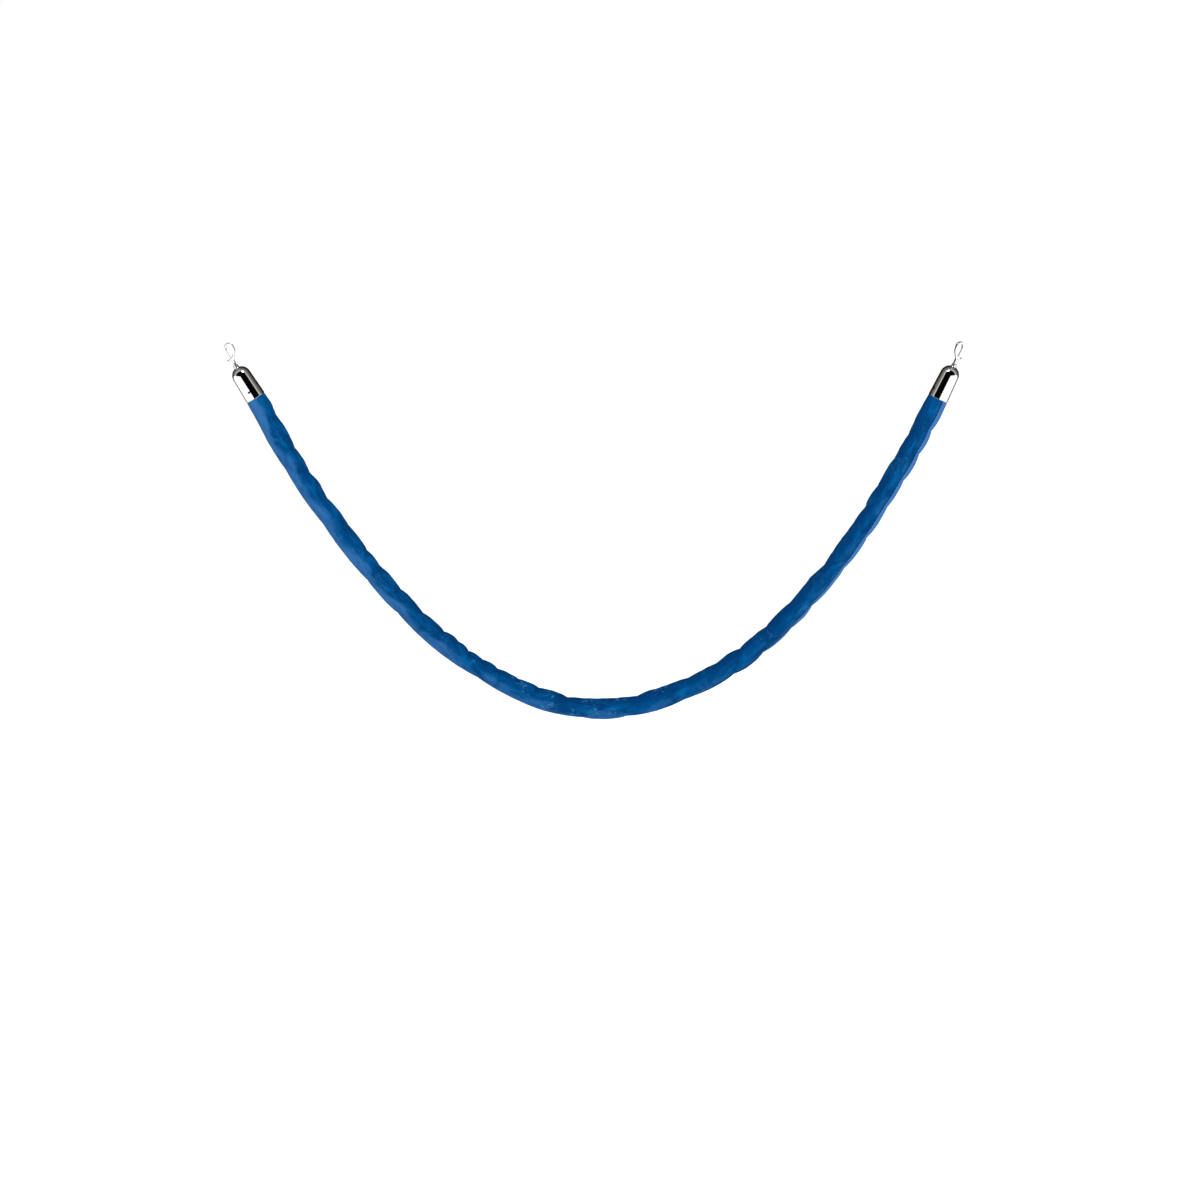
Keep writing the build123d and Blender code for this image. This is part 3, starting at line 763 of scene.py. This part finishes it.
    def outer_radius(self, along: Array, angle: Array, from_seam: Array) -> Array:
        """Radius of the cover's outside.

        Outside the caps it is the nominal radius and the plumpness, less creases, ripples and the
        seam's groove. Inside a cap it is that cap's bore. Between the two it swells over a few
        millimetres past the rim.

        Args:
            along: distance from the left mouth, as a column.
            angle: angle from the inner side towards the front, at each point.
            from_seam: angle from the seam, at each point.

        Returns:
            Radius at each point.
        """
        to_mouth = np.minimum(along, self.mouth_to_mouth - along)
        free = smooth_step(to_mouth, -0.8 * MM, 2.4 * MM)
        grown = smooth_step(to_mouth, 0, 28 * MM)
        settled = smooth_step(to_mouth, 2 * MM, 30 * MM)
        pleats = 0.3 * MM * np.sin(angle * 13 + 2.0 * np.sin(along * 60)) * (1 - settled)
        across = from_seam * self.diameter / 2 / self.seam_half
        stitches = 0.75 + 0.25 * np.cos(along * 2 * math.pi / self.stitch)
        groove = self.seam_depth * stitches / (1 + across * across)
        lumps = self.ripples(along, angle) - self.creases(along, angle)
        nominal = self.rim_r + (self.diameter / 2 + self.plump - self.rim_r) * grown
        swollen = nominal + lumps * settled - groove + pleats
        bore = self.tuck_r - self.tuck_taper * np.clip(-to_mouth, 0, None)
        return bore + (swollen - bore) * free

    def skin(self, along: Array, middle: Array, inner: Array, front: Array,
             angle: Array, radius: Array) -> Array:
        """Put a radius round each station, from the inner side towards the front."""
        outwards = (np.cos(angle)[..., None] * inner[:, None, :]
                    + np.sin(angle)[..., None] * front[:, None, :])
        return middle[:, None, :] + radius[..., None] * outwards

    def shares(self) -> Array:
        """Share of a turn from the seam at each column: its number, less a sine's share."""
        even = np.arange(self.columns) / self.columns
        return even - 0.6 / (2 * math.pi) * np.sin(2 * math.pi * even)

    def turned_columns(self, along: Array) -> tuple[Array, Array]:
        """Angles of the columns, closer together at the seam, which is the first column.

        Args:
            along: distance from the left mouth of each row.

        Returns:
            Angle from the inner side and angle from the seam, each as rows by columns.
        """
        from_seam = np.broadcast_to(self.shares() * 2 * math.pi, (len(along), self.columns))
        angle = self.seam_angle(along)[:, None] + from_seam
        return angle, np.angle(np.exp(1j * from_seam))

    def build_cover(self) -> None:
        """Skin the velvet, outside and lining, as one closed tube."""
        along, middle, inner, front = self.stations(self.rings)
        angle, from_seam = self.turned_columns(along)
        radius = self.outer_radius(along[:, None], angle, from_seam)
        outside = self.skin(along, middle, inner, front, angle, radius)
        back_along, back_middle, back_inner, back_front = self.stations(self.lining_rings)
        back_angle, _ = self.turned_columns(back_along)
        to_mouth = np.minimum(back_along, self.mouth_to_mouth - back_along)[:, None]
        bore = self.tuck_r - self.tuck_taper * np.clip(-to_mouth, 0, None) - self.wall
        share = smooth_step(to_mouth, -2 * MM, 20 * MM)
        lining = np.broadcast_to(bore + (self.lining_r - bore) * share, back_angle.shape)
        inside = self.skin(back_along, back_middle, back_inner, back_front, back_angle, lining)
        rows = np.concatenate([outside, inside[::-1]])
        self.pieces["velvet_cover"] = loft(
            "velvet_rope_cover", rows, np.concatenate([along, back_along[::-1]]), True,
            self.shares())
        # The lean carries painted light underneath and painted shade on top and in the creases;
        # the lining gets nought.
        pale = np.concatenate([self.lean_and_painted_light(along[:, None], angle, from_seam),
                               np.zeros(back_angle.shape)])
        layer = self.pieces["velvet_cover"].data.attributes.new("lean_and_painted_light", "FLOAT", "POINT")
        layer.data.foreach_set("value", pale.astype(np.float32).reshape(-1))
        self.line_used = middle

    def build_foam(self) -> None:
        """Skin the foam tube, which fills the cover from mouth to mouth."""
        along, middle, inner, front = self.stations(self.lining_rings * 3)
        inside = (along > 3 * MM) & (along < self.mouth_to_mouth - 3 * MM)
        along, middle, inner, front = along[inside], middle[inside], inner[inside], front[inside]
        angle, _ = self.turned_columns(along)
        outer = np.full(angle.shape, self.lining_r - self.foam_gap)
        bore = np.full(angle.shape, self.core_r + 2 * self.foam_gap)
        rows = np.concatenate([
            self.skin(along, middle, inner, front, angle, outer),
            self.skin(along, middle, inner, front, angle, bore)[::-1]])
        self.pieces["foam_filler"] = loft(
            "foam_tube", rows, np.concatenate([along, along[::-1]]), True)

    def build_core(self) -> None:
        """Skin the core cord, whose section has three strands that turn along it.

        Its radius is the cord's, less a share of it times the cube of the sine, without its
        sign, of one and a half times the angle, so it has three rounded lobes.
        """
        along, middle, inner, front = self.stations(self.rings)
        turn = np.arange(self.core_columns) / self.core_columns * 2 * math.pi
        angle = np.broadcast_to(turn, (len(along), self.core_columns))
        twist = angle - along[:, None] * 2 * math.pi / self.core_lay
        radius = self.core_r * (1 - self.core_groove * np.abs(np.sin(1.5 * twist)) ** 3)
        rows = self.skin(along, middle, inner, front, angle, radius)
        self.pieces["core_cord"] = loft("cotton_core_cord", rows, along, False)

    def build(self) -> None:
        """Build the cover, foam and cord, tie each to its body and hide its CAD node."""
        self.build_cover()
        self.build_foam()
        self.build_core()
        for node, piece in self.pieces.items():
            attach(piece, "rope")
            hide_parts(node)
            log.info("%s: %d faces", piece.name, len(piece.data.polygons))

    def dress(self) -> None:
        """Give each rope piece its cloth."""
        for node, finish, slot in (("velvet_cover", VelvetFinish(), "blue_velvet"),
                                   ("foam_filler", CREAM_FOAM, "foam"),
                                   ("core_cord", COTTON, "cotton_cord")):
            self.pieces[node].data.materials.append(finish.material())


# ---- the ends ----

@dataclass
class GateSpring:
    """The coil that pushes a gate shut, between the hook's slot and the gate."""

    end: EndFrame
    up: float = 17.2 * MM          # its axis above the cap's top
    seat: float = 4.60 * MM        # its fixed end, in the hook, from the cap's axis
    tip: float = 0.03 * MM         # its free end, in the gate
    coil_r: float = 0.7 * MM
    wire_r: float = 0.15 * MM
    turns: float = 5.0
    kept: float = 0.15             # share of its length left with the gate open
    rings: int = 260
    columns: int = 14

    def build(self) -> bpy.types.Object:
        """Skin the wire along its helix.

        A point is at the cosine and sine of the turn times the coil's radius, and moves along the
        spring's axis in proportion to the turn, but not over the half turn at each flat end.
        """
        share = np.linspace(0, 1, self.rings)
        turn = share * 2 * math.pi * (self.turns + 1)
        length = self.seat - self.tip - 2 * self.wire_r
        climb = self.tip + self.wire_r + length * smooth_step(share, 0.03, 0.97)
        centre = (self.end.place(climb, np.full(self.rings, self.up))
                  + np.multiply.outer(self.coil_r * np.cos(turn), self.end.up)
                  + np.multiply.outer(self.coil_r * np.sin(turn), self.end.across))
        ahead = unit(np.gradient(centre, axis=0))
        outwards = (np.multiply.outer(np.cos(turn), self.end.up)
                    + np.multiply.outer(np.sin(turn), self.end.across))
        sideways = unit(np.cross(ahead, outwards))
        round_wire = np.arange(self.columns) / self.columns * 2 * math.pi
        rows = centre[:, None, :] + self.wire_r * (
            np.cos(round_wire)[None, :, None] * outwards[:, None, :]
            + np.sin(round_wire)[None, :, None] * sideways[:, None, :])
        name = self.end.side.value
        spring = loft(f"{name}_coil_spring", rows, share * length, False)
        spring.data.materials.append(DRAWN_WIRE.material())
        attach(spring, f"{name}_hook")
        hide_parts(f"{name}_gate_spring")
        tuple(self.end.place(self.seat, self.up))
        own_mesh(spring)
        return spring


@dataclass
class EndFittings:
    """One end's cap, screws, swivel and snap hook, which keep their CAD shapes."""

    end: EndFrame
    finishes: dict[str, bpy.types.Material]

    def dress(self) -> None:
        """Put each finish on the nodes that have it."""
        for node, finish in (
            ("end_cap", "cap"), ("end_plug", "wood"), ("cap_screw_front", "screw"),
            ("cap_screw_back", "screw"), ("swivel_bush", "hook"), ("swivel_washer", "zinc"),
            ("swivel_rivet", "zinc"), ("hook_body", "hook"), ("gate", "hook"),
            ("gate_knob", "hook"), ("gate_pin", "hook"), ("gate_spring", "wire"),
        ):
            piece = frame["nodes"][f"{self.end.side.value}_{node}"]
            piece.data.materials.clear()
            piece.data.materials.append(self.finishes[finish])


# ---- floor, light and camera ----

@dataclass
class Studio:
    """A plain pale floor, soft light and the camera."""

    floor_z: float = -0.912
    camera_at: tuple[float, float, float] = (0.6753, -4.400, 0.4788)
    pitch_deg: float = 12.16
    lens_mm: float = 72.57
    floor_half: float = 60.0
    glow_on_cloth: float = 0.84    # the floor's glow as it lights the rope
    glow_in_chrome: float = 1.45   # and as the chrome reflects it

    def build_floor(self) -> None:
        """Lay a large, pale floor, lit from under the rope and dim far away and in reflections."""
        half = self.floor_half
        mesh = bpy.data.meshes.new("studio_floor")
        mesh.from_pydata([(-half, -half, self.floor_z), (half, -half, self.floor_z),
                          (half, half, self.floor_z), (-half, half, self.floor_z)],
                         [], [(0, 1, 2, 3)])
        floor = bpy.data.objects.new("studio_floor", mesh)
        bpy.context.scene.collection.objects.link(floor)
        material, tree = blank_material("pale_painted_floor")
        place = add_node(tree, "ShaderNodeTexCoord", {}, {}).outputs["Object"]
        parts = add_node(tree, "ShaderNodeSeparateXYZ", {}, {"Vector": place})
        near = add_node(tree, "ShaderNodeMapRange", EASED, {
            "Value": parts.outputs["Y"], "From Min": -20.0, "From Max": -15.0})
        far = add_node(tree, "ShaderNodeMapRange", EASED, {
            "Value": parts.outputs["Y"], "From Min": 0.1, "From Max": 1.7, "To Min": 1.0,
            "To Max": 0.06})
        lit = add_node(tree, "ShaderNodeMath", {"operation": "MULTIPLY"}, {
            0: near.outputs["Result"], 1: far.outputs["Result"]})
        ray = add_node(tree, "ShaderNodeLightPath", {}, {})
        boost = add_node(tree, "ShaderNodeMapRange", {}, {
            "Value": ray.outputs["Is Glossy Ray"], "To Min": self.glow_on_cloth,
            "To Max": self.glow_in_chrome})
        bright = add_node(tree, "ShaderNodeMath", {"operation": "MULTIPLY"}, {
            0: lit.outputs["Value"], 1: boost.outputs["Result"]})
        glow = add_node(tree, "ShaderNodeEmission", {}, {
            "Color": colour("#fffdfa"), "Strength": bright.outputs["Value"]})
        seen = add_node(tree, "ShaderNodeBsdfPrincipled", {}, {
            "Base Color": colour("#f7f7f6"), "Roughness": 0.8, "Specular IOR Level": 0.1,
            "Emission Color": colour("#ffffff"), "Emission Strength": 0.66})
        either = add_node(tree, "ShaderNodeMixShader", {}, {
            0: ray.outputs["Is Camera Ray"], 1: glow.outputs["Emission"], 2: seen.outputs["BSDF"]})
        add_node(tree, "ShaderNodeOutputMaterial", {}, {"Surface": either.outputs["Shader"]})
        mesh.materials.append(material)

    def build_lights(self) -> None:
        """Hang a faint key light, a softbox over the rope and two low fills in front."""
        sun = bpy.data.lights.new("key", "SUN")
        sun.energy = 0.9
        sun.angle = math.radians(30)
        key = bpy.data.objects.new("key", sun)
        key.rotation_euler = Euler((math.radians(24), math.radians(-10), 0))
        key.visible_glossy = False
        bpy.context.scene.collection.objects.link(key)
        for name, place, aim, size, power, shines in (
            ("softbox_over", (0.60, -0.95, 1.62), (0.66, 0.0, -0.2), (0.80, 0.60), 16.0, True),
            ("fill_left", (-1.7, -2.8, -0.5), (0.2, 0.0, -0.4), (1.2, 0.8), 30.0, False),
            ("fill_right", (3.1, -2.8, -0.5), (1.1, 0.0, -0.4), (1.2, 0.8), 30.0, False),
        ):
            light = bpy.data.lights.new(name, "AREA")
            light.shape = "ELLIPSE"
            light.size, light.size_y = size
            light.energy = power
            lamp = bpy.data.objects.new(name, light)
            lamp.location = place
            lamp.rotation_euler = (Vector(aim) - Vector(place)).to_track_quat("-Z", "Y").to_euler()
            lamp.visible_camera = False
            lamp.visible_glossy = shines
            bpy.context.scene.collection.objects.link(lamp)

    def build_surroundings(self) -> None:
        """Make the room: dark in front of the rope, lit walls beside it, dim far behind it."""
        world = bpy.data.worlds.new("studio_room")
        world.use_nodes = True
        tree = world.node_tree
        tree.nodes.clear()
        way = add_node(tree, "ShaderNodeTexCoord", {}, {}).outputs["Generated"]
        split = add_node(tree, "ShaderNodeSeparateXYZ", {}, {"Vector": way})
        share = add_node(tree, "ShaderNodeMapRange", {}, {
            "Value": split.outputs["Y"], "From Min": -1.0, "From Max": 1.0})
        ramp = add_node(tree, "ShaderNodeValToRGB", {}, {"Fac": share.outputs["Result"]})
        stops = ramp.color_ramp.elements
        stops[0].color = colour("#050505")
        stops[1].color = colour("#161515")
        for at, shade in ((0.27, "#0a0a0a"), (0.295, "#e9e6e2"), (0.33, "#efece8"),
                          (0.37, "#a39f9b"), (0.62, "#6b6764"), (0.80, "#2e2c2b")):
            stops.new(at).color = colour(shade)
        looked_at = add_node(tree, "ShaderNodeLightPath", {}, {}).outputs["Is Camera Ray"]
        seen = add_node(tree, "ShaderNodeMix", IN_COLOUR, {
            "Factor": looked_at, "A": ramp.outputs["Color"], "B": colour("#ffffff")})
        light = add_node(tree, "ShaderNodeBackground", {}, {
            "Color": seen.outputs["Result"], "Strength": 1.0})
        add_node(tree, "ShaderNodeOutputWorld", {}, {"Surface": light.outputs["Background"]})
        bpy.context.scene.world = world

    def build_camera(self) -> None:
        """Stand the camera in front of the rope, looking a little down."""
        lens = bpy.data.cameras.new("camera")
        lens.sensor_width = 36.0
        lens.lens = self.lens_mm
        camera = bpy.data.objects.new("camera", lens)
        camera.location = self.camera_at
        camera.rotation_euler = Euler((math.radians(90 - self.pitch_deg), 0, 0))
        bpy.context.scene.collection.objects.link(camera)
        bpy.context.scene.camera = camera

    def build(self) -> None:
        """Build all of it, with plain colour management so that white stays white."""
        self.build_camera()
        self.build_floor()
        self.build_lights()
        self.build_surroundings()
        bpy.context.scene.view_settings.view_transform = "Standard"


def main() -> None:
    """Build the studio, the rope and the two ends."""
    logging.basicConfig(level=logging.INFO, format="%(name)s: %(message)s")
    Studio().build()
    ends = {side: EndFrame(side) for side in Side}
    rope = VelvetRope(ends[Side.LEFT], ends[Side.RIGHT])
    rope.build()
    rope.dress()
    finishes = {"cap": POLISHED_CHROME.material(), "hook": CAST_CHROME.material(),
                "zinc": ZINC_PLATE.material(), "screw": BLACK_OXIDE.material(),
                "wire": DRAWN_WIRE.material(), "wood": BeechFinish().material()}
    for end in ends.values():
        EndFittings(end, finishes).dress()
        spring = GateSpring(end).build()
        log.info("%s end dressed, with %s", end.side.value, spring.name)


if __name__ == "__main__":
    main()
